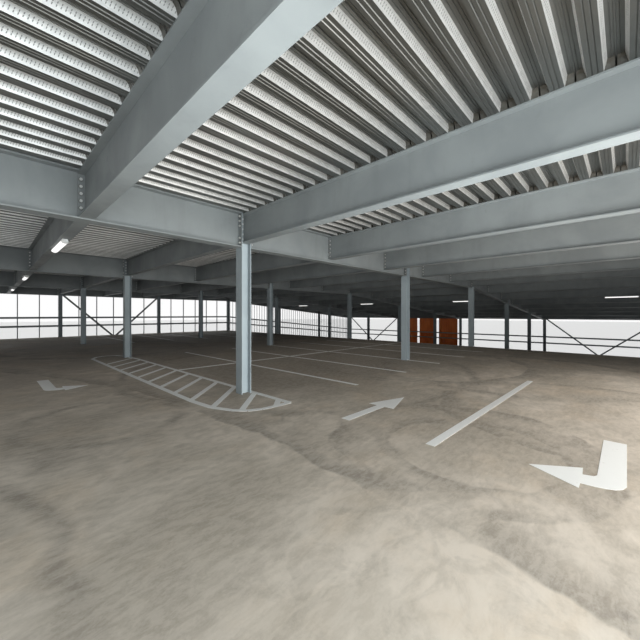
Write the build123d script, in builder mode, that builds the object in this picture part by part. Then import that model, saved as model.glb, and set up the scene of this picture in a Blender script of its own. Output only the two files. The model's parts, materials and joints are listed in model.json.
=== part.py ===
from build123d import *
import os

# Multi storey car park: three parking levels on a steel frame, in millimetres.
# X runs along the girders, Y along the floor beams, Z up from the lowest ground line.
# West of the middle grid line every level is flat, east of it every level falls by half a storey.

# Grid
BAY_X = 6200
BAY_Y = 7300
FLAT_BAYS = 3
RAMP_BAYS = 3
ROWS = 4
SLAB_EDGE = 250

# Levels
STOREY = 3540
UPPER_LEVELS = 2
GROUND_SLAB = 200
TOPPING = 77

# Steel deck whose ribs run along X
RIB_DEPTH = 73
RIBS_PER_ROW = 30
RIB_FOOT = 100
RIB_MOUTH = 144
DECK_SHEET = 4
HAUNCH_PROUD = 5

# Steel sections
GIRDER_DEPTH = 650
GIRDER_PROUD = 8.5
GIRDER_FLANGE = 20
FRAME_WEB = 12
BEAM_DEPTH = 540
BEAM_FLANGE = 16
BEAM_WEB = 10
BEAM_STEP = 2480
BEAM_CLEARANCE = 2.5
DEEP_BEAM = -6
DEEP_CLEARANCE = 2
COLUMN_SIZE = 203
COLUMN_FLANGE = 14

# Ground walls
PLINTH_WALL = 500
INNER_WALL = 400

# Guard rails between the columns
RAIL_HEIGHTS = (800, 1350)
RAIL_HIGH = 120
RAIL_DEEP = 60
ENTRY_ROW = 0

# Guard rail of the roof level
ROOF_GUARD = 1100
ROOF_RAIL_HEIGHTS = (550, 1080)
ROOF_RAIL_HIGH = 70
ROOF_RAIL_DEEP = 40
POST_ALONG = 80
POST_DEEP = 60
POST_INSET = 60

# Bracing of the east end and of one rear bay, and cladding of the east end
BRACE_ROWS = (0, 3)
REAR_BRACE_BAY = 1
BRACE_WIDE = 150
BRACE_DEEP = 90
BRACE_GAP = 120
PANEL_ROW = 2
PANELS = 3
PANEL_THICK = 40
PANEL_GAP = 260

# Lamps under the floor beams
LAMP_BEAMS = (-6, 2)
LAMP_PLACE = 2200
LAMP_LENGTH = 1200
LAMP_WIDE = 110
LAMP_HIGH = 75

WEST = -FLAT_BAYS * BAY_X
EAST = RAMP_BAYS * BAY_X
NORTH = ROWS * BAY_Y / 2
SOUTH = -NORTH
FACE = COLUMN_SIZE / 2
SLOPE = STOREY / 2 / EAST
ALONG_RAMP = Vector(1, 0, -SLOPE)
GRID_X = [WEST + BAY_X * i for i in range(FLAT_BAYS + RAMP_BAYS + 1)]
GRID_Y = [SOUTH + BAY_Y * j for j in range(ROWS + 1)]
FIRST_BEAM = -int((-WEST - BEAM_STEP / 4) // BEAM_STEP)
LAST_BEAM = int((EAST - BEAM_STEP / 4) // BEAM_STEP)
BEAM_X = [WEST, *[BEAM_STEP * k for k in range(FIRST_BEAM, LAST_BEAM + 1)], EAST]
BEAM_WIDTH = COLUMN_SIZE - 2 * COLUMN_FLANGE - 2 * BEAM_CLEARANCE
DEEP_BEAM_DEPTH = GIRDER_DEPTH - 2 * GIRDER_FLANGE - DEEP_CLEARANCE
GIRDER_WIDTH = COLUMN_SIZE + 2 * GIRDER_PROUD
HAUNCH = GIRDER_WIDTH + 2 * HAUNCH_PROUD
HAUNCH_DEPTH = RIB_DEPTH - GIRDER_FLANGE
UNDER_GROUND_SLAB = SLOPE * (EAST + SLAB_EDGE)
FLOORS = [UNDER_GROUND_SLAB + GROUND_SLAB + STOREY * n for n in range(UPPER_LEVELS + 1)]
STOREYS = ["ground_storey", "level_1_storey"]


def fall(x):
    """How far a level lies below its flat part at x."""
    return SLOPE * max(x, 0)


def beam_top(floor):
    return floor - TOPPING - RIB_DEPTH


def beam_depth(x):
    """The floor beams of one line are nearly as deep as the girders."""
    return DEEP_BEAM_DEPTH if x == BEAM_STEP * DEEP_BEAM else BEAM_DEPTH


def beam_foot(floor, x):
    return beam_top(floor) - beam_depth(x)


def girder_top(floor):
    """The floor beams end under the top flanges of the girders."""
    return beam_top(floor) + GIRDER_FLANGE


def ramp_plane(z):
    """The plane of a falling surface whose flat part lies at z."""
    return Plane(origin=(0, 0, z), x_dir=ALONG_RAMP, z_dir=(SLOPE, 0, 1))


def i_outline(depth, width, flange, web):
    """Outline of an I section that hangs below its top centre."""
    side, half, foot = width / 2, web / 2, -depth
    return [
        (-side, 0), (side, 0), (side, -flange), (half, -flange),
        (half, foot + flange), (side, foot + flange), (side, foot), (-side, foot),
        (-side, foot + flange), (-half, foot + flange), (-half, -flange), (-side, -flange),
    ]


def level_outline(x0, x1, top, thick):
    """Side outline of a strip that follows a level from x0 to x1."""
    bend = [0] if x0 < 0 < x1 else []
    line = [x0, *bend, x1]
    upper = [(x, top - fall(x)) for x in line]
    lower = [(x, top - thick - fall(x)) for x in reversed(line)]
    return upper + lower


def box_outline(u0, u1, v0, v1):
    return [(u0, v0), (u1, v0), (u1, v1), (u0, v1)]


def outline_face(points, u=0, v=0):
    """Adds one filled outline, moved by (u, v), to the sketch that is being built."""
    Polygon(*[(p + u, q + v) for p, q in points], align=None)


def keep(part, name):
    part.label = name
    export_step(part, f"parts/{name}.step")


def make_plate(name, x0, x1, y0, y1, top, thick):
    """A plate that follows a level."""
    with BuildPart() as plate:
        with BuildSketch(Plane.XZ.offset(-y1)):
            outline_face(level_outline(x0, x1, top, thick))
        extrude(amount=y1 - y0)
    keep(plate.part, name)


# Ground: walls carry a slab that lies half a storey up and falls to the ground line

def make_ground_walls():
    west, east = WEST - SLAB_EDGE, EAST + SLAB_EDGE
    outer = NORTH + SLAB_EDGE
    wedge = [(west, 0), (east, 0), (0, UNDER_GROUND_SLAB), (west, UNDER_GROUND_SLAB)]
    for name, y1 in (("plinth_wall_front", PLINTH_WALL - outer), ("plinth_wall_rear", outer)):
        with BuildPart() as wall:
            with BuildSketch(Plane.XZ.offset(-y1)):
                outline_face(wedge)
            extrude(amount=PLINTH_WALL)
        keep(wall.part, name)
    with BuildPart() as west_wall:
        with BuildSketch(Plane.XY):
            with Locations((west + PLINTH_WALL / 2, 0)):
                Rectangle(PLINTH_WALL, 2 * (outer - PLINTH_WALL))
        extrude(amount=UNDER_GROUND_SLAB)
    keep(west_wall.part, "plinth_wall_west")

    inner = west + PLINTH_WALL
    inner_wedge = [(inner, 0), (east, 0), (0, UNDER_GROUND_SLAB), (inner, UNDER_GROUND_SLAB)]
    with BuildPart() as inner_walls:
        for y in GRID_Y[1:-1]:
            with BuildSketch(Plane.XZ.offset(-(y + INNER_WALL / 2))):
                outline_face(inner_wedge)
        extrude(amount=INNER_WALL)
    keep(inner_walls.part, "foundation_walls")


def make_slabs():
    """Ground slab and floor toppings, each in a flat and a falling part."""
    y0, y1 = SOUTH - SLAB_EDGE, NORTH + SLAB_EDGE
    names = ["ground_slab", "level_1_slab", "level_2_slab"]
    for name, floor in zip(names, FLOORS):
        thick = GROUND_SLAB if floor == FLOORS[0] else TOPPING
        make_plate(f"{name}_flat", WEST - SLAB_EDGE, 0, y0, y1, floor, thick)
        make_plate(f"{name}_ramp", 0, EAST + SLAB_EDGE, y0, y1, floor, thick)


# Steel deck and the concrete in its ribs

def deck_outline(ribbed):
    """Section of the deck in Y and Z under the topping, with a haunch on each girder line."""
    pitch = BAY_Y / RIBS_PER_ROW
    pan = DECK_SHEET if ribbed else RIB_DEPTH
    half = HAUNCH / 2
    lower = [(SOUTH - SLAB_EDGE, -HAUNCH_DEPTH)]
    for line in GRID_Y[:-1]:
        lower += [(line + half, -HAUNCH_DEPTH), (line + half, -pan)]
        for k in range(1, RIBS_PER_ROW if ribbed else 1):
            y = line + pitch * k
            lower += [
                (y - RIB_MOUTH / 2, -pan), (y - RIB_FOOT / 2, -RIB_DEPTH),
                (y + RIB_FOOT / 2, -RIB_DEPTH), (y + RIB_MOUTH / 2, -pan),
            ]
        lower += [(line + BAY_Y - half, -pan), (line + BAY_Y - half, -HAUNCH_DEPTH)]
    lower.append((NORTH + SLAB_EDGE, -HAUNCH_DEPTH))
    return [(SOUTH - SLAB_EDGE, 0), *lower, (NORTH + SLAB_EDGE, 0)]


def make_deck(level, ribbed):
    top = FLOORS[level] - TOPPING
    outline = deck_outline(ribbed)
    with BuildPart() as deck:
        with BuildSketch(Plane.YZ.offset(WEST - SLAB_EDGE)):
            outline_face(outline, 0, top)
        extrude(amount=SLAB_EDGE - WEST)
        with BuildSketch(Plane.YZ):
            outline_face(outline, 0, top)
        extrude(amount=(EAST + SLAB_EDGE) * ALONG_RAMP.length, dir=ALONG_RAMP)
    keep(deck.part, f"level_{level}_deck")


# Steel frame

def make_girders(level):
    """Girders of one level, each between the facing flanges of two columns."""
    section = i_outline(GIRDER_DEPTH, GIRDER_WIDTH, GIRDER_FLANGE, FRAME_WEB)
    with BuildPart() as girders:
        for x in GRID_X[:-1]:
            start = x + FACE
            way = ALONG_RAMP if start > 0 else Vector(1, 0, 0)
            with BuildSketch(Plane.YZ.offset(start)):
                for y in GRID_Y:
                    outline_face(section, y, girder_top(FLOORS[level]) - fall(start))
            extrude(amount=(BAY_X - COLUMN_SIZE) * way.length, dir=way)
    keep(girders.part, f"level_{level}_girders")


def make_beams(level, row):
    """Floor beams of one row, between the webs of the girders or of the columns."""
    top = beam_top(FLOORS[level])
    with BuildPart() as beams:
        with BuildSketch(Plane.XZ.offset(FRAME_WEB / 2 - GRID_Y[row + 1])):
            for x in BEAM_X:
                section = i_outline(beam_depth(x), BEAM_WIDTH, BEAM_FLANGE, BEAM_WEB)
                outline_face([(x + u, top + v - fall(x + u)) for u, v in section])
        extrude(amount=BAY_Y - FRAME_WEB)
    keep(beams.part, f"level_{level}_beams_row_{row + 1}")


def h_outline():
    """Section of a column, its flanges facing along X."""
    section = i_outline(COLUMN_SIZE, COLUMN_SIZE, COLUMN_FLANGE, FRAME_WEB)
    return [(v + FACE, u) for u, v in section]


def make_columns(storey):
    """Columns from one floor to the deck above, on the flat part and on the falling part."""
    low, high = FLOORS[storey], girder_top(FLOORS[storey + 1])
    lowest = low - fall(EAST + SLAB_EDGE)
    flat = [(x, y) for x in GRID_X for y in GRID_Y if x <= 0]
    falling = [(x, y) for x in GRID_X for y in GRID_Y if x > 0]
    with BuildPart() as flat_columns:
        with BuildSketch(Plane.XY.offset(low)):
            for x, y in flat:
                outline_face(h_outline(), x, y)
        extrude(amount=high - low)
        split(bisect_by=ramp_plane(high), keep=Keep.BOTTOM)
    keep(flat_columns.part, f"{STOREYS[storey]}_columns_flat")
    with BuildPart() as ramp_columns:
        with BuildSketch(Plane.XY.offset(lowest)):
            for x, y in falling:
                outline_face(h_outline(), x, y)
        extrude(amount=high - lowest)
        split(bisect_by=ramp_plane(low), keep=Keep.TOP)
        split(bisect_by=ramp_plane(high), keep=Keep.BOTTOM)
    keep(ramp_columns.part, f"{STOREYS[storey]}_columns_ramp")


def add_brace_pair(middle, bay, low, high):
    """Outlines of two bars that rise from the middle of a bay to its upper corners."""
    foot = BRACE_GAP / 2
    head = bay / 2 - FACE
    bar = [(foot, low), (foot + BRACE_WIDE, low), (head, high), (head - BRACE_WIDE, high)]
    for side in (-1, 1):
        outline_face([(middle + side * u, v) for u, v in bar])


def make_braces(storey):
    """Bracing of one storey. The row of the entry stays open on the ground storey."""
    rows = [row for row in BRACE_ROWS if storey > 0 or row != ENTRY_ROW]
    inner, outer = EAST - BRACE_DEEP / 2, EAST + BRACE_DEEP / 2
    low = FLOORS[storey] - fall(inner)
    high = beam_foot(FLOORS[storey + 1], EAST) - fall(outer)
    with BuildPart() as east_braces:
        with BuildSketch(Plane.YZ.offset(inner)):
            for row in rows:
                add_brace_pair(GRID_Y[row] + BAY_Y / 2, BAY_Y, low, high)
        extrude(amount=BRACE_DEEP)
    keep(east_braces.part, f"{STOREYS[storey]}_braces_east")

    under_girder = girder_top(FLOORS[storey + 1]) - GIRDER_DEPTH
    with BuildPart() as rear_braces:
        with BuildSketch(Plane.XZ.offset(-(NORTH + BRACE_DEEP / 2))):
            add_brace_pair(GRID_X[REAR_BRACE_BAY] + BAY_X / 2, BAY_X, FLOORS[storey], under_girder)
        extrude(amount=BRACE_DEEP)
    keep(rear_braces.part, f"{STOREYS[storey]}_braces_rear")


# Edge protection and cladding

def make_side_rails(storey, side, y0):
    """Two guard rails along a long side, on the outer tips of the column flanges."""
    with BuildPart() as rails:
        with BuildSketch(Plane.XZ.offset(-(y0 + RAIL_DEEP))):
            for height in RAIL_HEIGHTS:
                top = FLOORS[storey] + height
                outline_face(level_outline(WEST - FACE, EAST + FACE, top, RAIL_HIGH))
        extrude(amount=RAIL_DEEP)
    keep(rails.part, f"{STOREYS[storey]}_rails_{side}")


def make_end_rails(storey, side, x0, first):
    """Two guard rails along an end, on the outer flanges of the columns."""
    last = NORTH + FACE + RAIL_DEEP
    with BuildPart() as rails:
        with BuildSketch(Plane.YZ.offset(x0)):
            for height in RAIL_HEIGHTS:
                top = FLOORS[storey] + height - fall(x0)
                outline_face(box_outline(first, last, top - RAIL_HIGH, top))
        extrude(amount=RAIL_DEEP)
    keep(rails.part, f"{STOREYS[storey]}_rails_{side}")


def make_panels(storey):
    """Cladding panels at the east end, from the slab to the deck above, outside the rails."""
    inner = EAST + FACE + RAIL_DEEP
    low = FLOORS[storey] - fall(inner)
    high = beam_top(FLOORS[storey + 1]) - fall(inner + PANEL_THICK)
    wide = (BAY_Y - COLUMN_SIZE - (PANELS + 1) * PANEL_GAP) / PANELS
    first = GRID_Y[PANEL_ROW] + FACE + PANEL_GAP
    with BuildPart() as panels:
        with BuildSketch(Plane.YZ.offset(inner)):
            for k in range(PANELS):
                y = first + k * (wide + PANEL_GAP)
                outline_face(box_outline(y, y + wide, low, high))
        extrude(amount=PANEL_THICK)
    keep(panels.part, f"{STOREYS[storey]}_cladding_panels")


def make_roof_guard():
    """Posts near the roof's edge, and two rails on their inner faces all round."""
    floor = FLOORS[UPPER_LEVELS]
    edge = NORTH + SLAB_EDGE - POST_INSET
    west, east = WEST - SLAB_EDGE + POST_INSET, EAST + SLAB_EDGE - POST_INSET
    along_x = GRID_X + [x + BAY_X / 2 for x in GRID_X[:-1]]
    along_y = GRID_Y[1:-1] + [y + BAY_Y / 2 for y in GRID_Y[:-1]]
    half = POST_ALONG / 2
    with BuildPart() as posts:
        for y1 in (edge, POST_DEEP - edge):
            with BuildSketch(Plane.XZ.offset(-y1)):
                for x in along_x:
                    low = floor - fall(x - half)
                    outline_face(box_outline(x - half, x + half, low, low + ROOF_GUARD))
            extrude(amount=POST_DEEP)
        for x0 in (west, east - POST_DEEP):
            with BuildSketch(Plane.YZ.offset(x0)):
                for y in along_y:
                    low = floor - fall(x0)
                    outline_face(box_outline(y - half, y + half, low, low + ROOF_GUARD))
            extrude(amount=POST_DEEP)
    keep(posts.part, "roof_guard_posts")

    x0, x1, inner = west + POST_DEEP, east - POST_DEEP, edge - POST_DEEP
    last = inner - ROOF_RAIL_DEEP
    tops = [floor + height for height in ROOF_RAIL_HEIGHTS]
    with BuildPart() as side_rails:
        for y1 in (inner, ROOF_RAIL_DEEP - inner):
            with BuildSketch(Plane.XZ.offset(-y1)):
                for top in tops:
                    outline_face(level_outline(x0, x1, top, ROOF_RAIL_HIGH))
            extrude(amount=ROOF_RAIL_DEEP)
    keep(side_rails.part, "roof_guard_side_rails")
    with BuildPart() as end_rails:
        for x in (x0, x1 - ROOF_RAIL_DEEP):
            with BuildSketch(Plane.YZ.offset(x)):
                for top in tops:
                    z = top - fall(x)
                    outline_face(box_outline(-last, last, z - ROOF_RAIL_HIGH, z))
            extrude(amount=ROOF_RAIL_DEEP)
    keep(end_rails.part, "roof_guard_end_rails")


def make_lamps(storey):
    """Long lamps under the lower flanges of some floor beams."""
    half = LAMP_WIDE / 2
    with BuildPart() as lamps:
        for line in GRID_Y[:-1]:
            with BuildSketch(Plane.XZ.offset(-(line + LAMP_PLACE + LAMP_LENGTH / 2))):
                for x in [BEAM_STEP * k for k in LAMP_BEAMS]:
                    top = beam_foot(FLOORS[storey + 1], x) - fall(x + half)
                    outline_face(box_outline(x - half, x + half, top - LAMP_HIGH, top))
            extrude(amount=LAMP_LENGTH)
    keep(lamps.part, f"{STOREYS[storey]}_lamps")


os.makedirs("parts", exist_ok=True)
make_ground_walls()
make_slabs()
for upper in range(1, UPPER_LEVELS + 1):
    make_deck(upper, ribbed=upper == UPPER_LEVELS)
    make_girders(upper)
    for row_number in range(ROWS):
        make_beams(upper, row_number)
for storey_number in range(UPPER_LEVELS):
    wrap = SOUTH - FACE - RAIL_DEEP
    entry_side = GRID_Y[ENTRY_ROW + 1] - FACE if storey_number == 0 else wrap
    make_columns(storey_number)
    make_braces(storey_number)
    make_side_rails(storey_number, "front", wrap)
    make_side_rails(storey_number, "rear", NORTH + FACE)
    make_end_rails(storey_number, "west", WEST - FACE - RAIL_DEEP, wrap)
    make_end_rails(storey_number, "east", EAST + FACE, entry_side)
    make_panels(storey_number)
    make_lamps(storey_number)
make_roof_guard()
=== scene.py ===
import json
import math

import bpy
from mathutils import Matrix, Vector

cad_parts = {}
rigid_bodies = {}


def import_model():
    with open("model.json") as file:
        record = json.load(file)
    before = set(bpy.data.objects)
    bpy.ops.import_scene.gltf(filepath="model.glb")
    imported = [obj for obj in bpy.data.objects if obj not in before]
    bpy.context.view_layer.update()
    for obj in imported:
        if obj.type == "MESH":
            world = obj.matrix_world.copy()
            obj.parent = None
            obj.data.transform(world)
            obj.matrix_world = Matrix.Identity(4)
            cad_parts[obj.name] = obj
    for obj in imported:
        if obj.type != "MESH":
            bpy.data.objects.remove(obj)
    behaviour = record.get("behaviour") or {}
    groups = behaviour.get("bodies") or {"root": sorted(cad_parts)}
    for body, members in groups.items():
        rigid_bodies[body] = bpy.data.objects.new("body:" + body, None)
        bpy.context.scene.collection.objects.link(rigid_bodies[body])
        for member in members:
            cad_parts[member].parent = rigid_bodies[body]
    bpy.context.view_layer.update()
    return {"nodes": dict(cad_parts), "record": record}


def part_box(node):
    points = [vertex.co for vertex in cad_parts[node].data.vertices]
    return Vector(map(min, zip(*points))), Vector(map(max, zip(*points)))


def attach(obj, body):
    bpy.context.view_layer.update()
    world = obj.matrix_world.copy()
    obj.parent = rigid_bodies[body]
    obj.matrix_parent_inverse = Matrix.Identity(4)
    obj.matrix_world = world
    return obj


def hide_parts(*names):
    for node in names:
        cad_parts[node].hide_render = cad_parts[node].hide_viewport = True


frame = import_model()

# Grid and levels, as in the frame
BAY_X = 6.2
BAY_Y = 7.3
HALF_BAYS = 3
ROWS = 4
EAST = HALF_BAYS * BAY_X
NORTH = ROWS * BAY_Y / 2
SLAB_EDGE = 0.25
STOREY = 3.54
SLOPE = STOREY / 2 / EAST
LEVELS = [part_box(f"{name}_slab_flat")[1].z for name in ("ground", "level_1", "level_2")]
STOREYS = ["ground_storey", "level_1_storey"]
GRID_X = [BAY_X * i for i in range(-HALF_BAYS, HALF_BAYS + 1)]
GRID_Y = [BAY_Y * j - NORTH for j in range(ROWS + 1)]

# Ribbed deck: its top lies DECK_TOP from the floor above, and its other heights are from its top
DECK_TOP = -0.077
RIB_DEPTH = 0.073
RIBS = 30
PITCH = BAY_Y / RIBS
PAN = -0.004
HALF_FOOT = 0.05
HALF_MOUTH = 0.072
GROOVE = 0.0055
GROOVE_DEEP = 0.006
DECK_SKIN = -0.0005

# Lips that hang from each pan, from its side to its middle, as (distance from the middle, depth)
PAN_LIPS = ((0.027, 0), (0.025, 0.0055), (0.022, 0), (0.007, 0), (0.004, 0.008))

# Ends that close the pans beside the floor beams, from foot to top, as (distance from their edge, height)
PAN_END = ((0, -RIB_DEPTH), (0.010, -0.05), (0.022, -0.024), (0.044, PAN))
END_INSET = 0.012
HALF_SPLIT = 0.006

# Steel frame, with heights from the floor above
COLUMN = 0.203
FACE = COLUMN / 2
GIRDER_DEPTH = 0.65
GIRDER_FLANGE = 0.02
GIRDER_OUT = 0.0085
GIRDER_HALF = FACE + GIRDER_OUT
BEAM_DEPTH = 0.54
DEEP_BEAM_DEPTH = 0.608
BEAM_HALF = 0.085
BEAM_STEP = 2.48
BEAMS_OUT = 7
BEAM_X = [-EAST, *[BEAM_STEP * k for k in range(-BEAMS_OUT, BEAMS_OUT + 1)], EAST]
DEEP_LINE = -6
DEEP_X = DEEP_LINE * BEAM_STEP
BEAM_TOP = DECK_TOP - RIB_DEPTH
GIRDER_TOP = BEAM_TOP + GIRDER_FLANGE
GIRDER_FOOT = GIRDER_TOP - GIRDER_DEPTH
HAUNCH = RIB_DEPTH - GIRDER_FLANGE
HAUNCH_OUT = 0.005
HALF_HAUNCH = GIRDER_HALF + HAUNCH_OUT
HALF_WEB = 0.006

# Numbers of the materials in the pieces that have several
FLAT, RIB_SIDE, PRESSED = 0, 1, 2
NUT, WASHER = 1, 2
COVER = 1

# End plates, a little smaller than the sections that they close
PLATE = 0.014
PLATE_INSET = 0.002
PLATE_SIDE_INSET = 0.001

# Bolts: heights of the rows, and how far the two columns of bolts lie from the middle
BEAM_BOLT_ROWS = (-0.235, -0.331, -0.427, -0.523, -0.619)
BEAM_BOLT_SIDE = 0.05
GIRDER_BOLT_ROWS = (-0.205, -0.295, -0.385, -0.61, -0.7)
GIRDER_BOLT_SIDE = 0.072

# Washer, nut and tip of a bolt, one on the other, as (radius, thickness, sides, material)
BOLT_PARTS = ((0.029, 0.005, 8, WASHER), (0.02, 0.019, 6, NUT), (0.011, 0.012, 6, NUT))

# Upright bars of the facades: SCREEN_OUT is how far their middles lie outside the outer grid lines
UPRIGHTS_PER_BAY = 6
UPRIGHT = 0.05
FINS_PER_BAY = 20
FIN = 0.014
SCREEN_DEEP = 0.07
SCREEN_INSET = 0.015
SCREEN_OUT = SLAB_EDGE - SCREEN_INSET - SCREEN_DEEP / 2

# Folded cladding
PANELS = 3
PANEL_GAP = 0.26
FOLDS = 11
FOLD_DEEP = 0.034
SHEET = 0.003

# Lamps under two lines of floor beams, which are counted from the middle line
LAMP_BEAMS = (DEEP_LINE, 2)
LAMP_START = 1.6
LAMP_LENGTH = 1.2
LAMP_HALF = 0.055
HOUSING_HALF = 0.042
HOUSING_TOP_HALF = 0.035
HOUSING_DEEP = 0.034
HOUSING_EDGE = 0.008
COVER_HALF = 0.052
COVER_DEEP = 0.04
COVER_STEPS = 10
CAP = 0.03
CAP_OVER_COVER = 1.03

# White lines on the floors: width, depth in the floor, and coats a little apart in height where they cross
LINE = 0.1
SUNK = 0.002
LIFT = 0.003
OVER = 0.0038
LIFT_STEP = 0.0002

# Stalls on both sides of a row's long line: their lines end STALL_FRONT south of it
STALL = 2.0667
STALLS = 14
STALL_START = -10.33
STALL_FRONT = 4.6
ROW_LINE_START = -12.2

# Where each row's long line lies, and how far the stall lines reach north of it
STALL_ROWS = ((-3.85, 3.9), (11.0, 3.5))

# One line along the way in, between two places
ENTRY_LINE = ((-12.28, -10.96), (-7.32, -11.02))
ENTRY_LINE_WIDE = 0.11

# Hatched island round two columns, from its south east corner: east side, north end, west side, south end.
# The hatches start on its east side and end on the stretch from point ISLAND_WEST on.
ISLAND = [
    (-12.23, -8.44), (-12.27, -0.55),
    (-12.36, 0.45), (-12.55, 0.93), (-12.86, 1.0), (-13.15, 0.8), (-13.33, 0.4),
    (-13.34, -3.0), (-13.34, -7.2),
    (-13.29, -7.75), (-13.14, -8.13), (-12.98, -8.32), (-12.78, -8.41), (-12.48, -8.44),
]
ISLAND_WEST = 5
ISLAND_LINE = 0.105
HATCHES = 12
HATCH_START = (-12.27, -8.19)
HATCH_STEP = 0.72

# Arrows, their tails at the origin
TURN_ARROW = [
    (0, 0), (0, 0.2), (1.17, 0.2), (1.21, 0.22), (1.24, 0.3),
    (1.07, 0.31), (1.34, 0.71), (1.56, 0.3), (1.45, 0.3),
    (1.44, 0.2), (1.42, 0.13), (1.39, 0.07), (1.34, 0.025), (1.26, 0),
]
STRAIGHT_ARROW = [
    (0, -0.07), (0.92, -0.07), (0.92, -0.235), (1.68, 0), (0.92, 0.235), (0.92, 0.07), (0, 0.07),
]

# Where each arrow's tail lies, and the directions of its length and of its width
ARROWS = [
    (STRAIGHT_ARROW, (-12.25, -9.68), (1, 0), (0, 1)),
    (TURN_ARROW, (-10.7, -12.59), (-1, 0), (0, 1)),
    (TURN_ARROW, (-15.02, -3.0), (0, -1), (1, 0)),
]

# Tyre marks: (x, y, radius, width) of rings, and (x, y, radius, fade) of bands with one crisp edge
TYRE_RINGS = [
    (-9.3, -5.64, 4.6, 0.4), (-15.55, -8.15, 0.1, 1.3), (-20.9, -10.16, 5.41, 0.3),
    (-6.0, -10.2, 3.2, 0.6), (-13.04, -8.69, 0.28, 0.09), (3.0, -9.5, 3.6, 0.6),
    (9.0, -11.0, 2.4, 0.5), (-12.0, 4.0, 3.4, 0.6), (0.0, 3.6, 3.0, 0.5),
    (12.0, 3.4, 3.8, 0.6), (-14.6, -7.2, 1.0, 0.35),
]
TYRE_BANDS = [
    (-31.94, -9.45, 18.48, 0.75), (-11.93, -11.12, 1.52, -0.6), (-12.03, -11.33, 0.88, 0.35),
    (-9.4, -12.2, 2.2, -0.4), (-6.3, -7.6, 3.1, 0.7), (4.2, -5.4, 5.2, -0.9), (8.0, 6.2, 4.1, 0.8),
]
CRISP_EDGE = (-0.03, 0.02)

# Camera at the eye of someone who stands on level 1
EYE = (-15.805, -12.59)
EYE_HEIGHT = 1.5
EYE_HEADING = -46.2

# Lights: two tints, the strength of the sky, and the width of a sun in degrees
WARM = (1.0, 0.975, 0.925)
COOL = (0.90, 0.975, 1.0)
SKY_LIGHT = 0.09
SUN_SIZE = 25

# Words in the names of the pieces that face the open air, and of the pale floor round them
OUTER = (
    "plinth", "ground_slab", "level_2_slab", "markings_2", "stage",
    "guard", "rails", "uprights", "cladding", "braces",
)

# The pale floor round the building: half its width, and how far it lies below the ground line
STAGE_REACH = 400
STAGE_DROP = 0.004

# Places of the colours among a mix node's inputs
COLOUR_A, COLOUR_B = 6, 7


def fall(x):
    """How far a level lies below its flat part at x."""
    return SLOPE * max(x, 0)


def beam_foot(x):
    """The lower side of the floor beams at x: one line of them is nearly as deep as the girders."""
    return BEAM_TOP - (DEEP_BEAM_DEPTH if x == DEEP_X else BEAM_DEPTH)


def inner_sides(k, lines):
    """The sides of grid line k that have a bay."""
    return [side for side in (-1, 1) if 0 <= k + side < len(lines)]


# Material graphs

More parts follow.
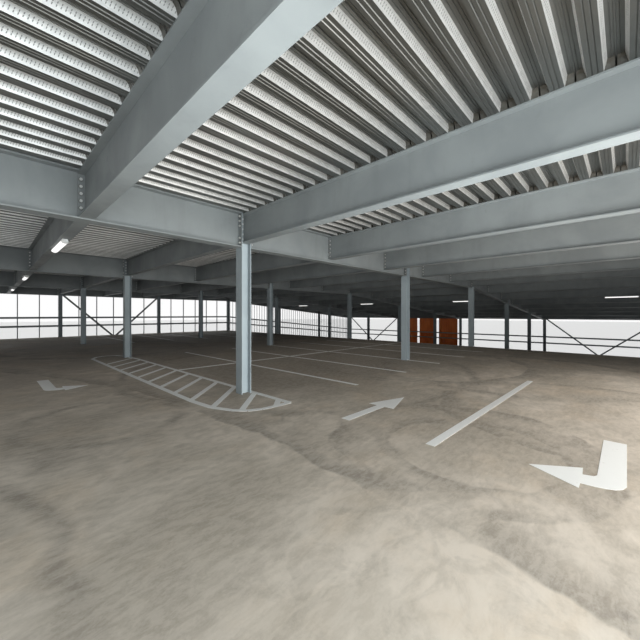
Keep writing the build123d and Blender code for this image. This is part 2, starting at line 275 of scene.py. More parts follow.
class Graph:
    """The nodes of one material, with short calls for the kinds used here."""

    def __init__(self, name):
        self.material = bpy.data.materials.new(name)
        self.material.use_nodes = True
        self.nodes = self.material.node_tree.nodes
        self.shader = self.nodes["Principled BSDF"]
        self.place = self.nodes.new("ShaderNodeTexCoord").outputs["Object"]
        self.wobble = 0.0

    def put(self, value, socket):
        """A node's output is linked, anything else is set."""
        if isinstance(value, bpy.types.NodeSocket):
            self.material.node_tree.links.new(value, socket)
        elif isinstance(value, (tuple, list)) and socket.type == "RGBA":
            socket.default_value = (*value, 1)
        else:
            socket.default_value = value

    def set(self, **values):
        for name, value in values.items():
            self.put(value, self.shader.inputs[name.replace("_", " ")])
        return self.material

    def math(self, kind, a, b=0.0):
        node = self.nodes.new("ShaderNodeMath")
        node.operation = kind
        self.put(a, node.inputs[0])
        self.put(b, node.inputs[1])
        return node.outputs[0]

    def times(self, a, b):
        return self.math("MULTIPLY", a, b)

    def largest(self, values):
        most, *others = values
        for value in others:
            most = self.math("MAXIMUM", most, value)
        return most

    def grey(self, colour):
        node = self.nodes.new("ShaderNodeRGBToBW")
        self.put(colour, node.inputs[0])
        return node.outputs[0]

    def split(self, vector):
        node = self.nodes.new("ShaderNodeSeparateXYZ")
        self.put(vector, node.inputs[0])
        return node.outputs

    def scaled(self, stretch):
        node = self.nodes.new("ShaderNodeVectorMath")
        node.operation = "MULTIPLY"
        self.put(self.place, node.inputs[0])
        node.inputs[1].default_value = stretch
        return node.outputs[0]

    def noise(self, scale, detail=4.0, rough=0.5, warp=0.0, stretch=None):
        node = self.nodes.new("ShaderNodeTexNoise")
        self.put(self.scaled(stretch) if stretch else self.place, node.inputs["Vector"])
        node.inputs["Scale"].default_value = scale
        node.inputs["Detail"].default_value = detail
        node.inputs["Roughness"].default_value = rough
        node.inputs["Distortion"].default_value = warp
        return node.outputs[0]

    def cells(self, scale, stretch=None):
        node = self.nodes.new("ShaderNodeTexVoronoi")
        self.put(self.scaled(stretch) if stretch else self.place, node.inputs["Vector"])
        node.inputs["Scale"].default_value = scale
        return node.outputs

    def span(self, value, low, high, to_low=0.0, to_high=1.0):
        """Eases a value from one range into another."""
        node = self.nodes.new("ShaderNodeMapRange")
        node.interpolation_type = "SMOOTHSTEP"
        for item, socket in zip((value, low, high, to_low, to_high), node.inputs):
            self.put(item, socket)
        return node.outputs[0]

    def mix(self, share, a, b):
        node = self.nodes.new("ShaderNodeMix")
        node.data_type = "RGBA"
        for item, place in ((share, 0), (a, COLOUR_A), (b, COLOUR_B)):
            self.put(item, node.inputs[place])
        return node.outputs[2]

    def beyond(self, x, y, radius):
        """How far a place on the floor lies outside a circle round (x, y)."""
        apart = self.nodes.new("ShaderNodeVectorMath")
        apart.operation = "DISTANCE"
        self.put(self.scaled((1, 1, 0)), apart.inputs[0])
        apart.inputs[1].default_value = (x, y, 0)
        return self.math("ADD", self.math("SUBTRACT", apart.outputs["Value"], radius), self.wobble)

    def ring(self, x, y, radius, width):
        """One on a circle round (x, y), easing to nothing at half its width."""
        off = self.math("ABSOLUTE", self.beyond(x, y, radius))
        return self.span(off, 0.0, width / 2, 1.0, 0.0)

    def band(self, x, y, radius, fade):
        """A crisp edge on a circle, easing to nothing outwards, or inwards where fade is negative."""
        off = self.beyond(x, y, radius)
        if fade < 0:
            off = self.times(off, -1.0)
        return self.times(self.span(off, *CRISP_EDGE), self.span(off, 0.0, abs(fade), 1.0, 0.0))

    def bump(self, height, distance, strength=1.0):
        node = self.nodes.new("ShaderNodeBump")
        node.inputs["Strength"].default_value = strength
        node.inputs["Distance"].default_value = distance
        self.put(height, node.inputs["Height"])
        return node.outputs[0]


def shaded_stall_rows(g):
    """One over the rows of stalls, where the floor is painted darker as painted shade, and less in the aisle
    along the west side.
    """
    east, north, _ = g.split(g.place)
    first_row = g.times(g.span(north, -9.3, -7.2), g.span(north, -1.0, 1.6, 1.0, 0.0))
    rows = g.largest([first_row, g.span(north, 5.0, 7.4)])
    return g.times(rows, g.span(east, -13.4, -11.6, 0.25, 1.0))


def tyre_marks(g):
    g.wobble = g.times(g.math("SUBTRACT", g.noise(0.9, 4, 0.55), 0.5), 0.6)
    marks = g.largest([g.ring(*ring) for ring in TYRE_RINGS] + [g.band(*band) for band in TYRE_BANDS])
    worn = g.span(g.noise(1.3, 4, 0.6, 0.4), 0.36, 0.60, 0.1, 1.0)
    return g.times(marks, worn)


def concrete_floor():
    """Power-floated concrete: pale clouds, brown and dark stains, tyre marks, trowel strokes, and painted
    shade over the stall rows.
    """
    g = Graph("worn_floor_concrete")
    clouds = g.noise(0.33, 6, 0.55, 0.9)
    brown = g.span(g.noise(0.85, 4, 0.55, 0.6), 0.48, 0.66, 0.0, 0.45)
    blotches = g.span(g.noise(1.7, 6, 0.62, 0.9, (0.5, 1, 1)), 0.42, 0.60, 0.0, 0.5)
    dried_edges = g.span(g.noise(0.62, 3, 0.4, 1.3), 0.495, 0.530, 0.0, 0.13)
    mottle = g.span(g.noise(4.2, 6, 0.66, 0.6, (0.8, 1, 1)), 0.40, 0.62, 0.0, 0.32)
    spots = g.span(g.cells(0.9)["Distance"], 0.02, 0.05, 0.5, 0.0)
    strokes = g.noise(17, 4, 0.7, 0.4, (0.42, 1, 1))
    grain = g.noise(60, 3, 0.7)
    colour = g.mix(g.span(clouds, 0.38, 0.60), (0.475, 0.417, 0.348), (0.72, 0.635, 0.545))
    for share, stain in (
        (brown, (0.597, 0.478, 0.354)),
        (blotches, (0.422, 0.367, 0.299)),
        (dried_edges, (0.288, 0.256, 0.216)),
        # painted shade: the floor darkened over the rows of stalls, less towards the west aisle
        (g.times(shaded_stall_rows(g), 0.55), (0.175, 0.152, 0.124)),
        (g.times(tyre_marks(g), 0.74), (0.227, 0.198, 0.166)),
        (mottle, (0.278, 0.241, 0.198)),
        (spots, (0.165, 0.145, 0.124)),
        (g.span(strokes, 0.38, 0.62, 0.0, 0.25), (0.78, 0.70, 0.612)),
        (g.span(grain, 0.3, 0.7, 0.0, 0.12), (0.762, 0.685, 0.607)),
    ):
        colour = g.mix(share, colour, stain)
    height = g.math("ADD", g.times(grain, 0.6), strokes)
    g.set(Specular_IOR_Level=0.25, Roughness=g.span(clouds, 0.3, 0.7, 0.62, 0.85))
    return g.set(Base_Color=colour, Normal=g.bump(height, 0.003, 0.22))


def board_joints(g):
    """Joints of the wall's formwork, on walls that run along X or along Y."""
    joints = g.nodes.new("ShaderNodeTexBrick")
    join = g.nodes.new("ShaderNodeCombineXYZ")
    x, y, z = g.split(g.place)
    g.put(g.math("ADD", x, y), join.inputs[0])
    g.put(z, join.inputs[1])
    g.put(join.outputs[0], joints.inputs["Vector"])
    joints.offset = 0.0
    for name, value in (
        ("Scale", 1.0), ("Mortar Size", 0.008), ("Mortar Smooth", 0.4),
        ("Brick Width", 2.4), ("Row Height", 1.2),
    ):
        joints.inputs[name].default_value = value
    return joints.outputs["Fac"]


def concrete_wall():
    g = Graph("cast_wall_concrete")
    clouds = g.noise(0.8, 6, 0.6, 0.3)
    streaks = g.noise(1.0, 4, 0.55, 0.2, (2.4, 2.4, 0.3))
    pores = g.span(g.cells(26)["Distance"], 0.05, 0.16, 1.0, 0.0)
    joints = board_joints(g)
    colour = g.mix(g.span(clouds, 0.3, 0.7), (0.47, 0.46, 0.43), (0.64, 0.63, 0.60))
    colour = g.mix(g.span(streaks, 0.5, 0.72, 0.0, 0.4), colour, (0.33, 0.32, 0.29))
    colour = g.mix(g.times(joints, 0.5), colour, (0.26, 0.25, 0.23))
    hollows = g.math("ADD", joints, g.times(pores, 0.3))
    height = g.math("SUBTRACT", g.times(clouds, 0.4), hollows)
    g.set(Roughness=g.span(clouds, 0.2, 0.8, 0.7, 0.9))
    return g.set(Base_Color=colour, Normal=g.bump(height, 0.012, 0.5))


def paint(name, light, dark, dirt, rough):
    """Satin paint on rolled steel: soft mottling, faint runs, and dirt in patches."""
    g = Graph(name)
    mottle = g.noise(1.3, 5, 0.55, 0.4)
    runs = g.noise(1.6, 4, 0.6, 0.2, (2.2, 2.2, 0.4))
    skin = g.noise(210, 2, 0.5)
    marks = g.span(g.noise(3.1, 6, 0.7, 0.6), 0.60, 0.74, 0.0, 0.5)
    colour = g.mix(g.span(mottle, 0.3, 0.7), dark, light)
    colour = g.mix(g.span(runs, 0.5, 0.75, 0.0, 0.22), colour, dirt)
    colour = g.mix(g.times(marks, 0.5), colour, dirt)
    gloss = g.math("ADD", g.span(mottle, 0.3, 0.7, rough + 0.08, rough), g.times(marks, 0.2))
    g.set(Specular_IOR_Level=0.15)
    return g.set(Base_Color=colour, Roughness=gloss, Normal=g.bump(skin, 0.0006, 0.4))


def pressed_dashes(g):
    """A row of slanted dashes along the middle of each rib side, from the sheet's own length and share."""
    texture = g.nodes.new("ShaderNodeUVMap")
    texture.uv_map = "sheet"
    along, share, _ = g.split(texture.outputs[0])
    dash_pitch, middle, slant = 0.023, 0.46, 0.9
    phase = g.math("ADD", g.times(along, 1 / dash_pitch), g.times(share, slant))
    wave = g.math("ABSOLUTE", g.math("SUBTRACT", g.math("FRACT", phase), 0.5))
    aside = g.math("ABSOLUTE", g.math("SUBTRACT", share, middle))
    ends = g.times(g.span(aside, 0.02, 0.05), g.span(aside, 0.20, 0.27, 1.0, 0.0))
    return g.times(g.span(wave, 0.05, 0.17, 1.0, 0.0), ends)


def zinc(name, bright, dull, rough, metal=0.85, dashed=False):
    """Galvanised sheet: spangle, wiped patches, and rows of pressed dashes on the rib sides, painted dark as
    painted shade in their dents.
    """
    g = Graph(name)
    spangle = g.grey(g.cells(34, (0.5, 1, 1))["Color"])
    patches = g.noise(0.9, 5, 0.6, 0.5, (0.3, 1, 1))
    colour = g.mix(g.span(patches, 0.35, 0.68), dull, bright)
    colour = g.mix(g.span(spangle, 0.2, 0.9, 0.0, 0.16), colour, (0.25, 0.26, 0.26))
    height = g.noise(5, 3, 0.5, 0.0, (0.2, 1, 1))
    if dashed:
        dashes = pressed_dashes(g)
        # painted shade: each pressed dash darkened as the shade in its dent
        colour = g.mix(g.times(dashes, 0.74), colour, (0.13, 0.135, 0.13))
        height = g.math("SUBTRACT", height, dashes)
    g.set(Metallic=metal, Roughness=g.span(patches, 0.3, 0.7, rough + 0.1, rough))
    return g.set(Base_Color=colour, Normal=g.bump(height, 0.003, 0.4))


def coated_sheet():
    g = Graph("orange_coated_sheet")
    fade = g.noise(0.9, 5, 0.5, 0.3, (1, 1, 0.5))
    dust = g.span(g.noise(2.3, 5, 0.6, 0.3, (1, 1, 0.3)), 0.5, 0.75, 0.0, 0.35)
    colour = g.mix(g.span(fade, 0.3, 0.7), (0.72, 0.16, 0.028), (0.86, 0.24, 0.05))
    colour = g.mix(dust, colour, (0.42, 0.20, 0.10))
    g.set(Base_Color=colour, Roughness=g.span(fade, 0.3, 0.7, 0.34, 0.46))
    return g.set(Normal=g.bump(g.noise(60, 2, 0.5), 0.001, 0.3))


def line_paint():
    g = Graph("white_line_paint")
    worn = g.noise(9, 6, 0.75, 0.5)
    g.set(Base_Color=g.mix(g.span(worn, 0.62, 0.78), (0.97, 0.97, 0.955), (0.60, 0.58, 0.54)))
    return g.set(Roughness=g.span(worn, 0.4, 0.7, 0.45, 0.65), Normal=g.bump(worn, 0.002, 0.4))


def opal():
    g = Graph("opal_cover")
    cloud = g.noise(8, 3, 0.5)
    g.set(Base_Color=g.mix(g.span(cloud, 0.3, 0.7), (0.86, 0.88, 0.88), (0.94, 0.95, 0.95)))
    g.set(Roughness=g.span(cloud, 0.3, 0.7, 0.28, 0.36), Normal=g.bump(g.noise(300, 1), 0.0004, 0.3))
    return g.set(Emission_Color=(1, 0.99, 0.96), Emission_Strength=1.2)


def lamp_housing():
    g = Graph("lamp_housing")
    dust = g.noise(12, 4, 0.6)
    g.set(Base_Color=g.mix(g.span(dust, 0.4, 0.7), (0.80, 0.81, 0.81), (0.62, 0.63, 0.62)))
    return g.set(Roughness=g.span(dust, 0.3, 0.7, 0.4, 0.55), Normal=g.bump(dust, 0.0006, 0.3))


LOOKS = {
    "concrete_wall": concrete_wall(),
    "concrete_floor": concrete_floor(),
    # The deck's flats and rib sides are dark and light copies of one zinc: painted shade on the flats
    "galvanised_deck": zinc("galvanised_sheet", (0.285, 0.29, 0.28), (0.183, 0.187, 0.18), 0.36),
    "frame_paint": paint(
        "frame_paint", (0.28, 0.30, 0.303), (0.23, 0.247, 0.252), (0.175, 0.182, 0.18), 0.44,
    ),
    "column_paint": paint(
        "column_paint", (0.30, 0.335, 0.35), (0.255, 0.285, 0.30), (0.30, 0.32, 0.325), 0.42,
    ),
    "rail_steel": paint("rail_paint", (0.47, 0.50, 0.52), (0.40, 0.43, 0.45), (0.27, 0.28, 0.28), 0.45),
    "orange_cladding": coated_sheet(),
    "lamp_body": lamp_housing(),
}
# Rib sides: a much lighter copy of the deck's zinc, painted light where daylight from the open front falls on
# them
LIT_RIB_SIDES = zinc("embossed_rib_side", (0.87, 0.87, 0.86), (0.78, 0.78, 0.77), 0.46, 0.6, dashed=True)
# Pan ends: a near-black copy of the deck's zinc, painted shade in the recesses beside the beams
SHADED_PAN_ENDS = zinc("pressed_ends", (0.13, 0.125, 0.11), (0.05, 0.047, 0.04), 0.42, 0.5)
BOLT_ZINC = zinc("bolt_zinc", (0.80, 0.81, 0.80), (0.62, 0.63, 0.62), 0.35, 0.35)
# Washers: a dark copy of the bolts' zinc, a painted shadow ring round each nut
SHADED_WASHERS = zinc("washer_zinc", (0.16, 0.165, 0.16), (0.08, 0.08, 0.075), 0.5, 0.3)
LINES = line_paint()
OPAL = opal()

# The materials of the pieces that have several, in the order of their numbers
DECK_LOOKS = (LOOKS["galvanised_deck"], LIT_RIB_SIDES, SHADED_PAN_ENDS)
JOINT_LOOKS = (LOOKS["frame_paint"], BOLT_ZINC, SHADED_WASHERS)
LAMP_LOOKS = (LOOKS["lamp_body"], OPAL)


# Meshes

class Shape:
    """Collects the faces of one piece."""

    def __init__(self, *materials):
        self.materials = materials
        self.points = []
        self.faces = []
        self.looks = []
        self.sheet = []

    def face(self, corners, look=0, sheet=None):
        """One face, with its material's number and, on ribbed sheet, each corner's place for the dashes."""
        first = len(self.points)
        self.points += [tuple(c) for c in corners]
        self.faces.append(tuple(range(first, first + len(corners))))
        self.looks.append(look)
        self.sheet += sheet or [(0.0, 0.0)] * len(corners)

    def sweep(self, near, far, look):
        """The sides between two like outlines."""
        for i in range(len(near)):
            self.face([near[i], near[i - 1], far[i - 1], far[i]], look)

    def prism(self, outline, shift, look=0):
        """A closed solid: a flat outline swept by one vector."""
        near = [Vector(p) for p in outline]
        shift = Vector(shift)
        turn = sum((a.cross(b) for a, b in zip(near, near[1:] + near[:1])), Vector())
        if turn.dot(shift) > 0:
            near.reverse()
        far = [p + shift for p in near]
        self.face(near, look)
        self.face(far[::-1], look)
        self.sweep(near, far, look)

    def box(self, low, high, look=0):
        (x0, y0, z0), (x1, y1, z1) = low, high
        self.prism([(x0, y0, z0), (x1, y0, z0), (x1, y1, z0), (x0, y1, z0)], (0, 0, z1 - z0), look)

    def disc(self, place, axis, radius, thick, sides, look=0):
        """A short round or six-sided piece that stands on a face."""
        up = Vector((0, 0, 1))
        side = axis.cross(up)
        turns = [2 * math.pi * k / sides for k in range(sides)]
        near = [place + radius * (math.cos(t) * side + math.sin(t) * up) for t in turns]
        far = [p + axis * thick for p in near]
        self.face(far[::-1], look)
        self.sweep(near, far, look)

    def build(self, name, slot, *nodes):
        """Makes the piece, which stands for the nodes that are named."""
        mesh = bpy.data.meshes.new(name)
        mesh.from_pydata(self.points, [], self.faces)
        for material in self.materials:
            mesh.materials.append(material)
        mesh.polygons.foreach_set("material_index", self.looks)
        layer = mesh.uv_layers.new(name="sheet")
        layer.data.foreach_set("uv", [value for pair in self.sheet for value in pair])
        mesh.update()
        piece = bpy.data.objects.new(name, mesh)
        bpy.context.scene.collection.objects.link(piece)
        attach(piece, "root")
        if nodes:
            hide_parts(*nodes)


# Ribbed deck

def rib_points(y):
    """The lower side of one rib and of the pan before it, as (y, z, look of the stretch that ends there)."""
    middle = y - PITCH / 2
    points = [(middle - u, PAN - v, FLAT) for u, v in PAN_LIPS]
    points += [(middle + u, PAN - v, FLAT) for u, v in reversed(PAN_LIPS)]
    points += [(y - HALF_MOUTH, PAN, FLAT), (y - HALF_FOOT, -RIB_DEPTH, RIB_SIDE)]
    for groove in (y - HALF_FOOT / 3, y + HALF_FOOT / 3):
        points += [(groove - GROOVE, -RIB_DEPTH, FLAT), (groove, GROOVE_DEEP - RIB_DEPTH, FLAT)]
        points += [(groove + GROOVE, -RIB_DEPTH, FLAT)]
    return points + [(y + HALF_FOOT, -RIB_DEPTH, FLAT), (y + HALF_MOUTH, PAN, RIB_SIDE)]


def deck_section():
    """The outline of the whole deck across its ribs, in the form that rib_points gives."""
    wide = NORTH + SLAB_EDGE
    points = [(-wide, -HAUNCH, FLAT)]
    for start in GRID_Y[:-1]:
        first, last = start + HALF_HAUNCH, start + BAY_Y - HALF_HAUNCH
        points += [(first, -HAUNCH, FLAT), (first, PAN, FLAT)]
        for k in range(1, RIBS):
            points += rib_points(start + PITCH * k)
        points += [(last, PAN, FLAT), (last, -HAUNCH, FLAT)]
    return points + [(wide, -HAUNCH, FLAT), (wide, DECK_SKIN, FLAT), (-wide, DECK_SKIN, FLAT)]


def sweep_deck(shape, top, x0, x1):
    """Sweeps the deck's section along X. The dashes need each face's length and the share across it."""
    section = deck_section()
    drop0, drop1 = fall(x0), fall(x1)
    for (ya, za, _), (yb, zb, look) in zip(section, section[1:] + section[:1]):
        za, zb = top + za, top + zb
        corners = [(x0, yb, zb - drop0), (x1, yb, zb - drop1), (x1, ya, za - drop1), (x0, ya, za - drop0)]
        shape.face(corners, look, [(x0, 1.0), (x1, 1.0), (x1, 0.0), (x0, 0.0)])


def close_half(shape, top, edge, side, middle, half):
    """One half of a pan's pressed end, from its foot up to the pan."""
    rungs = []
    for out, z in PAN_END:
        x = edge + side * out
        grow = (PAN - z) / (RIB_DEPTH + PAN) * (HALF_MOUTH - HALF_FOOT)
        near, far = half * HALF_SPLIT, half * (PITCH / 2 - HALF_MOUTH + grow)
        rungs.append([(x, middle + y, top + z - fall(x)) for y in (near, far)])
    for lower, upper in zip(rungs, rungs[1:]):
        corners = lower + upper[::-1]
        shape.face(corners if half * side > 0 else corners[::-1], PRESSED)


def close_pans(shape, top, x, side):
    """Closes each pan on one side of a floor beam, in two halves."""
    edge = x + side * (BEAM_HALF - END_INSET)
    for start in GRID_Y[:-1]:
        for k in range(2, RIBS):
            for half in (-1, 1):
                close_half(shape, top, edge, side, start + PITCH * (k - 0.5), half)


def make_deck(level):
    top = LEVELS[level] + DECK_TOP
    shape = Shape(*DECK_LOOKS)
    reach = EAST + SLAB_EDGE
    sweep_deck(shape, top, -reach, 0)
    sweep_deck(shape, top, 0, reach)
    for x in BEAM_X:
        for side in (-1, 1):
            close_pans(shape, top, x, side)
    for x in (-reach, reach):
        cap = [(x, y, top + z - fall(x)) for y, z, _ in deck_section()]
        shape.face(cap if x > 0 else cap[::-1])
    shape.build(f"ribbed_deck_{level}", "galvanised_deck", f"level_{level}_deck")


# Bolted joints

def bolt(shape, place, axis):
    """A washer, a nut and the bolt's tip, one on the other."""
    place = Vector(place)
    for radius, thick, sides, look in BOLT_PARTS:
        shape.disc(place, axis, radius, thick, sides, look)
        place = place + axis * thick


def make_beam_ends(level):
    """End plates and bolts on both sides of the webs that the floor beams meet."""
    floor = LEVELS[level]
    shape = Shape(*JOINT_LOOKS)
    reach = BEAM_HALF - PLATE_SIDE_INSET
    for x in BEAM_X:
        drop = fall(x)
        low, high = floor + beam_foot(x) - drop + PLATE_INSET, floor + BEAM_TOP - drop - PLATE_INSET
        for j, line in enumerate(GRID_Y):
            for side in inner_sides(j, GRID_Y):
                near = line + side * HALF_WEB
                far = near + side * PLATE
                shape.box((x - reach, min(near, far), low), (x + reach, max(near, far), high))
                for row in BEAM_BOLT_ROWS:
                    for across in (-BEAM_BOLT_SIDE, BEAM_BOLT_SIDE):
                        height = floor + row - drop - SLOPE * across * (x > 0)
                        bolt(shape, (x + across, far, height), Vector((0, side, 0)))
    shape.build(f"beam_end_joints_{level}", "frame_paint")


def make_girder_ends(level):
    """End plates and bolts between the girders and the column flanges."""
    floor = LEVELS[level]
    shape = Shape(*JOINT_LOOKS)
    reach = GIRDER_HALF - PLATE_INSET
    for i, column in enumerate(GRID_X):
        for side in inner_sides(i, GRID_X):
            near = column + side * FACE
            far = near + side * PLATE
            drop = fall(near)
            low, high = floor + GIRDER_FOOT - drop + PLATE_INSET, floor + GIRDER_TOP - drop - PLATE_INSET
            for y in GRID_Y:
                shape.box((min(near, far), y - reach, low), (max(near, far), y + reach, high))
                for row in GIRDER_BOLT_ROWS:
                    for across in (-GIRDER_BOLT_SIDE, GIRDER_BOLT_SIDE):
                        bolt(shape, (far, y + across, floor + row - drop), Vector((side, 0, 0)))
    shape.build(f"girder_end_joints_{level}", "frame_paint")


# Facades

def upright(shape, storey, x, y, half_x, half_y):
    """A bar from one floor to the deck above."""
    low = LEVELS[storey] - fall(x + half_x) - SUNK
    high = LEVELS[storey + 1] + GIRDER_TOP - fall(x - half_x)
    shape.box((x - half_x, y - half_y, low), (x + half_x, y + half_y, high))


def make_facade(storey):
    """Uprights along the west side and the western half of the long sides, then close fins to the east."""
    shape = Shape(LOOKS["rail_steel"])
    half_deep = SCREEN_DEEP / 2
    for y in (-NORTH - SCREEN_OUT, NORTH + SCREEN_OUT):
        for k in range(HALF_BAYS * UPRIGHTS_PER_BAY + 1):
            upright(shape, storey, -EAST + BAY_X / UPRIGHTS_PER_BAY * k, y, UPRIGHT / 2, half_deep)
        for k in range(1, HALF_BAYS * FINS_PER_BAY + 1):
            upright(shape, storey, BAY_X / FINS_PER_BAY * k, y, FIN / 2, half_deep)
    for k in range(ROWS * UPRIGHTS_PER_BAY + 1):
        y = -NORTH + BAY_Y / UPRIGHTS_PER_BAY * k
        upright(shape, storey, -EAST - SCREEN_OUT, y, half_deep, UPRIGHT / 2)
    shape.build(f"{STOREYS[storey]}_uprights", "rail_steel")


def folded_sheet(shape, x0, y0, y1, z0, z1):
    """A sheet with upright folds, each a low strip, a slope, a high strip and a slope back."""
    low_end, slope_end, high_end = 0.3, 0.42, 0.88
    pitch = (y1 - y0) / FOLDS
    x1 = x0 + FOLD_DEEP
    line = []
    for k in range(FOLDS):
        y = y0 + pitch * k
        line += [(x0, y), (x0, y + pitch * low_end), (x1, y + pitch * slope_end), (x1, y + pitch * high_end)]
    line.append((x0, y1))
    outline = line + [(x + SHEET, y) for x, y in reversed(line)]
    shape.prism([(x, y, z0) for x, y in outline], (0, 0, z1 - z0))


def make_cladding(storey):
    node = f"{STOREYS[storey]}_cladding_panels"
    low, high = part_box(node)
    shape = Shape(LOOKS["orange_cladding"])
    wide = (high.y - low.y - (PANELS - 1) * PANEL_GAP) / PANELS
    for k in range(PANELS):
        y = low.y + k * (wide + PANEL_GAP)
        folded_sheet(shape, low.x, y, y + wide, low.z, high.z)
    shape.build(f"{STOREYS[storey]}_folded_cladding", "orange_cladding", node)


# Lamps under the floor beams

def make_lamps(storey):
    """A housing, a half round cover under it, and a cap at each end of the cover."""
    node = f"{STOREYS[storey]}_lamps"
    shape = Shape(*LAMP_LOOKS)
    housing = [
        (-HOUSING_TOP_HALF, 0), (HOUSING_TOP_HALF, 0), (HOUSING_HALF, -HOUSING_EDGE),
        (HOUSING_HALF, -HOUSING_DEEP), (-HOUSING_HALF, -HOUSING_DEEP), (-HOUSING_HALF, -HOUSING_EDGE),
    ]
    turns = [math.pi * k / COVER_STEPS for k in range(COVER_STEPS + 1)]
    cover = [(COVER_HALF * math.cos(t), -HOUSING_DEEP - COVER_DEEP * math.sin(t)) for t in turns]
    for start in GRID_Y[:-1]:
        y0 = start + LAMP_START
        y1 = y0 + LAMP_LENGTH
        for x in (BEAM_STEP * k for k in LAMP_BEAMS):
            top = LEVELS[storey + 1] + beam_foot(x) - fall(x + LAMP_HALF)
            shape.prism([(x + u, y0, top + v) for u, v in housing], (0, LAMP_LENGTH, 0))
            shape.prism([(x + u, y0 + CAP, top + v) for u, v in cover], (0, LAMP_LENGTH - 2 * CAP, 0), COVER)
            for y in (y0, y1 - CAP):
                shape.prism([(x + u * CAP_OVER_COVER, y, top + v) for u, v in cover], (0, CAP, 0))
    shape.build(f"{STOREYS[storey]}_battens", "lamp_body", node)


# Floor markings

def mark(shape, level, outline, lift=LIFT):
    """A thin coat of paint, sunk a little into the floor."""
    points = [(x, y, LEVELS[level] - fall(x) - SUNK) for x, y in outline]
    shape.prism(points, (0, 0, SUNK + lift))


def stripe(shape, level, a, b, width=LINE, lift=LIFT):
    """A straight line of paint from a to b."""
    way = Vector((b[0] - a[0], b[1] - a[1]))
    side = Vector((-way.y, way.x)).normalized() * width / 2
    corners = [(a[0] + side.x, a[1] + side.y), (a[0] - side.x, a[1] - side.y)]
    corners += [(b[0] - side.x, b[1] - side.y), (b[0] + side.x, b[1] + side.y)]
    mark(shape, level, corners, lift)


def arrow(shape, level, outline, tail, along, across):
    """An arrow whose outline is laid out from its tail in the two directions given."""
    tail, along, across = Vector(tail), Vector(along), Vector(across)
    mark(shape, level, [tail + u * along + v * across for u, v in outline])


def far_side(x, y):
    """Where a line at 45 degrees from (x, y) meets the island's west side."""
    side = ISLAND[ISLAND_WEST:] + ISLAND[:1]
    for (x0, y0), (x1, y1) in zip(side, side[1:]):
        off0, off1 = (x0 - y0) - (x - y), (x1 - y1) - (x - y)
        if off0 * off1 <= 0:
            share = off0 / (off0 - off1)
            return x0 + (x1 - x0) * share, y0 + (y1 - y0) * share
    return x, y


def make_island(shape, level):
    """The rim, whose stripes differ a little in height where they meet, and the hatches in it."""
    for k, (a, b) in enumerate(zip(ISLAND, ISLAND[1:] + ISLAND[:1])):
        stripe(shape, level, a, b, ISLAND_LINE, LIFT + LIFT_STEP * (k % 3))
    for k in range(HATCHES):
        start = (HATCH_START[0], HATCH_START[1] + HATCH_STEP * k)
        stripe(shape, level, start, far_side(*start), LINE, OVER)


def make_markings(level):
    """Stall lines on both sides of each row's long line, arrows, and on level 1 the island."""
    shape = Shape(LINES)
    row_end = STALL_START + STALL * STALLS
    for middle, back in STALL_ROWS:
        for k in range(STALLS + 1):
            x = STALL_START + STALL * k
            stripe(shape, level, (x, middle - STALL_FRONT), (x, middle + back))
        for x0, x1 in ((ROW_LINE_START, 0), (0, row_end)):
            stripe(shape, level, (x0, middle), (x1, middle), LINE, OVER)
    if level == 1:
        make_island(shape, level)
    for item in ARROWS:
        arrow(shape, level, *item)
    stripe(shape, level, *ENTRY_LINE, ENTRY_LINE_WIDE)
    shape.build(f"floor_markings_{level}", "concrete_floor")


# Stage, light and camera

def make_stage():
    g = Graph("pale_stage")
    g.set(Base_Color=g.mix(g.noise(0.2, 3, 0.5), (0.78, 0.78, 0.775), (0.82, 0.82, 0.815)), Roughness=0.8)
    mesh = bpy.data.meshes.new("stage_floor")
    corners = [(STAGE_REACH * x, STAGE_REACH * y, 0) for x, y in ((-1, -1), (1, -1), (1, 1), (-1, 1))]
    mesh.from_pydata(corners, [], [(0, 1, 2, 3)])
    mesh.materials.append(g.material)
    floor = bpy.data.objects.new("stage_floor", mesh)
    floor.location.z = -STAGE_DROP
    bpy.context.scene.collection.objects.link(floor)


def make_world():
    """White to the camera and in reflections, and a plain sky light for the rest."""
    world = bpy.data.worlds.new("plain_sky")
    bpy.context.scene.world = world
    world.use_nodes = True
    nodes, links = world.node_tree.nodes, world.node_tree.links
    path = nodes.new("ShaderNodeLightPath")
    seen = path.outputs["Is Camera Ray"]
    for name in ("Is Glossy Ray", "Is Transmission Ray"):
        either = nodes.new("ShaderNodeMath")
        either.operation = "MAXIMUM"
        links.new(seen, either.inputs[0])
        links.new(path.outputs[name], either.inputs[1])
        seen = either.outputs[0]
    strength = nodes.new("ShaderNodeMapRange")
    links.new(seen, strength.inputs["Value"])
    strength.inputs["To Min"].default_value = SKY_LIGHT
    tint = nodes.new("ShaderNodeMix")
    tint.data_type = "RGBA"
    links.new(seen, tint.inputs[0])
    tint.inputs[COLOUR_A].default_value = (*COOL, 1)
    tint.inputs[COLOUR_B].default_value = (1, 1, 1, 1)
    sky = nodes["Background"]
    links.new(tint.outputs[2], sky.inputs["Color"])
    links.new(strength.outputs[0], sky.inputs["Strength"])


def faces_named(name, *words):
    """A collection of the pieces that a lamp may light: those whose names hold one of the words."""
    lit = bpy.data.collections.new(name)
    for piece in bpy.context.scene.objects:
        if piece.type == "MESH" and any(word in piece.name for word in words):
            lit.objects.link(piece)
    return lit


def add_panel(name, place, turn, size, watts, tint, lit):
    """A soft rectangular lamp that the camera doesn't see."""
    data = bpy.data.lights.new(name, "AREA")
    data.shape = "RECTANGLE"
    data.size, data.size_y = size
    data.energy = watts
    data.color = tint
    lamp = bpy.data.objects.new(name, data)
    lamp.location = place
    lamp.rotation_euler = [math.radians(a) for a in turn]
    lamp.visible_camera = False
    if lit:
        lamp.light_linking.receiver_collection = lit
    bpy.context.scene.collection.objects.link(lamp)


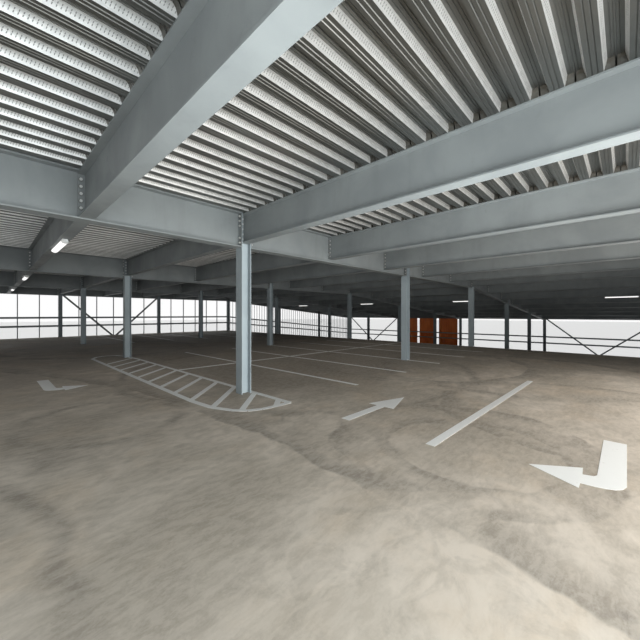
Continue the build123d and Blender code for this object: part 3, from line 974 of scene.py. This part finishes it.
def add_sun(name, strength, elevation, heading, lit):
    """A soft sun that lights one collection only."""
    data = bpy.data.lights.new(name, "SUN")
    data.energy = strength
    data.angle = math.radians(SUN_SIZE)
    sun = bpy.data.objects.new(name, data)
    sun.rotation_euler = (math.radians(90 - elevation), 0, math.radians(heading))
    sun.light_linking.receiver_collection = lit
    bpy.context.scene.collection.objects.link(sun)


def light_outside():
    """Suns for the outer faces only, which leave the rooms to the panels and the sky."""
    outer = faces_named("outer_faces", *OUTER)
    panels = faces_named("cladding_faces", "folded_cladding")
    add_sun("front_sun", 1.65, 45, -35, outer)
    add_sun("rear_sun", 1.65, 50, 150, outer)
    add_sun("west_sun", 1.0, 6, -80, panels)


def light_rooms():
    """Daylight from the front and the west, a fill over the stalls, and what the bright floor throws back."""
    steel = faces_named("frame_faces", "_girders", "_beams_")
    posts = faces_named("column_faces", "_columns_")
    for number in (0, 1):
        for name, (x, y, height), turn, size, watts, tint, lit in (
            ("front_light", (-9.6, -14.3, 1.4), (90, 0, 0), (8.2, 2.4), 230, WARM, None),
            ("corner_light", (-16.2, -14.3, 1.4), (90, 0, 0), (5.0, 2.4), 242, COOL, None),
            ("west_light", (-18.2, -9.4, 2.1), (32, 0, -90), (10, 1.4), 30, COOL, None),
            ("post_light", (-13.2, -14.3, 1.4), (90, 0, 0), (3, 2.2), 500, COOL, posts),
            ("frame_light", (-13.0, -12.2, 0.25), (180, 0, 0), (6, 3), 190, COOL, steel),
            ("row_light", (-8.5, -4.4, 2.6), (0, 0, 0), (19, 7), 45, WARM, None),
        ):
            add_panel(f"{name}_{number}", (x, y, LEVELS[number] + height), turn, size, watts, tint, lit)


def make_camera():
    data = bpy.data.cameras.new("eye")
    data.sensor_width = 36
    data.lens = 18
    data.shift_y = -0.0086
    data.clip_end = 500
    eye = bpy.data.objects.new("eye", data)
    eye.location = (*EYE, LEVELS[1] + EYE_HEIGHT)
    eye.rotation_euler = (math.radians(90), 0, math.radians(EYE_HEADING))
    bpy.context.scene.collection.objects.link(eye)
    bpy.context.scene.camera = eye


for item in frame["record"]["subparts"]:
    materials = frame["nodes"][item["node"]].data.materials
    materials.clear()
    materials.append(LOOKS[item["material_slot"]])

for level in (1, 2):
    make_deck(level)
    make_beam_ends(level)
    make_girder_ends(level)
for storey in (0, 1):
    make_facade(storey)
    make_cladding(storey)
    make_lamps(storey)
for level in (0, 1, 2):
    make_markings(level)

make_stage()
make_world()
light_outside()
light_rooms()
make_camera()
bpy.context.scene.view_settings.view_transform = "Standard"
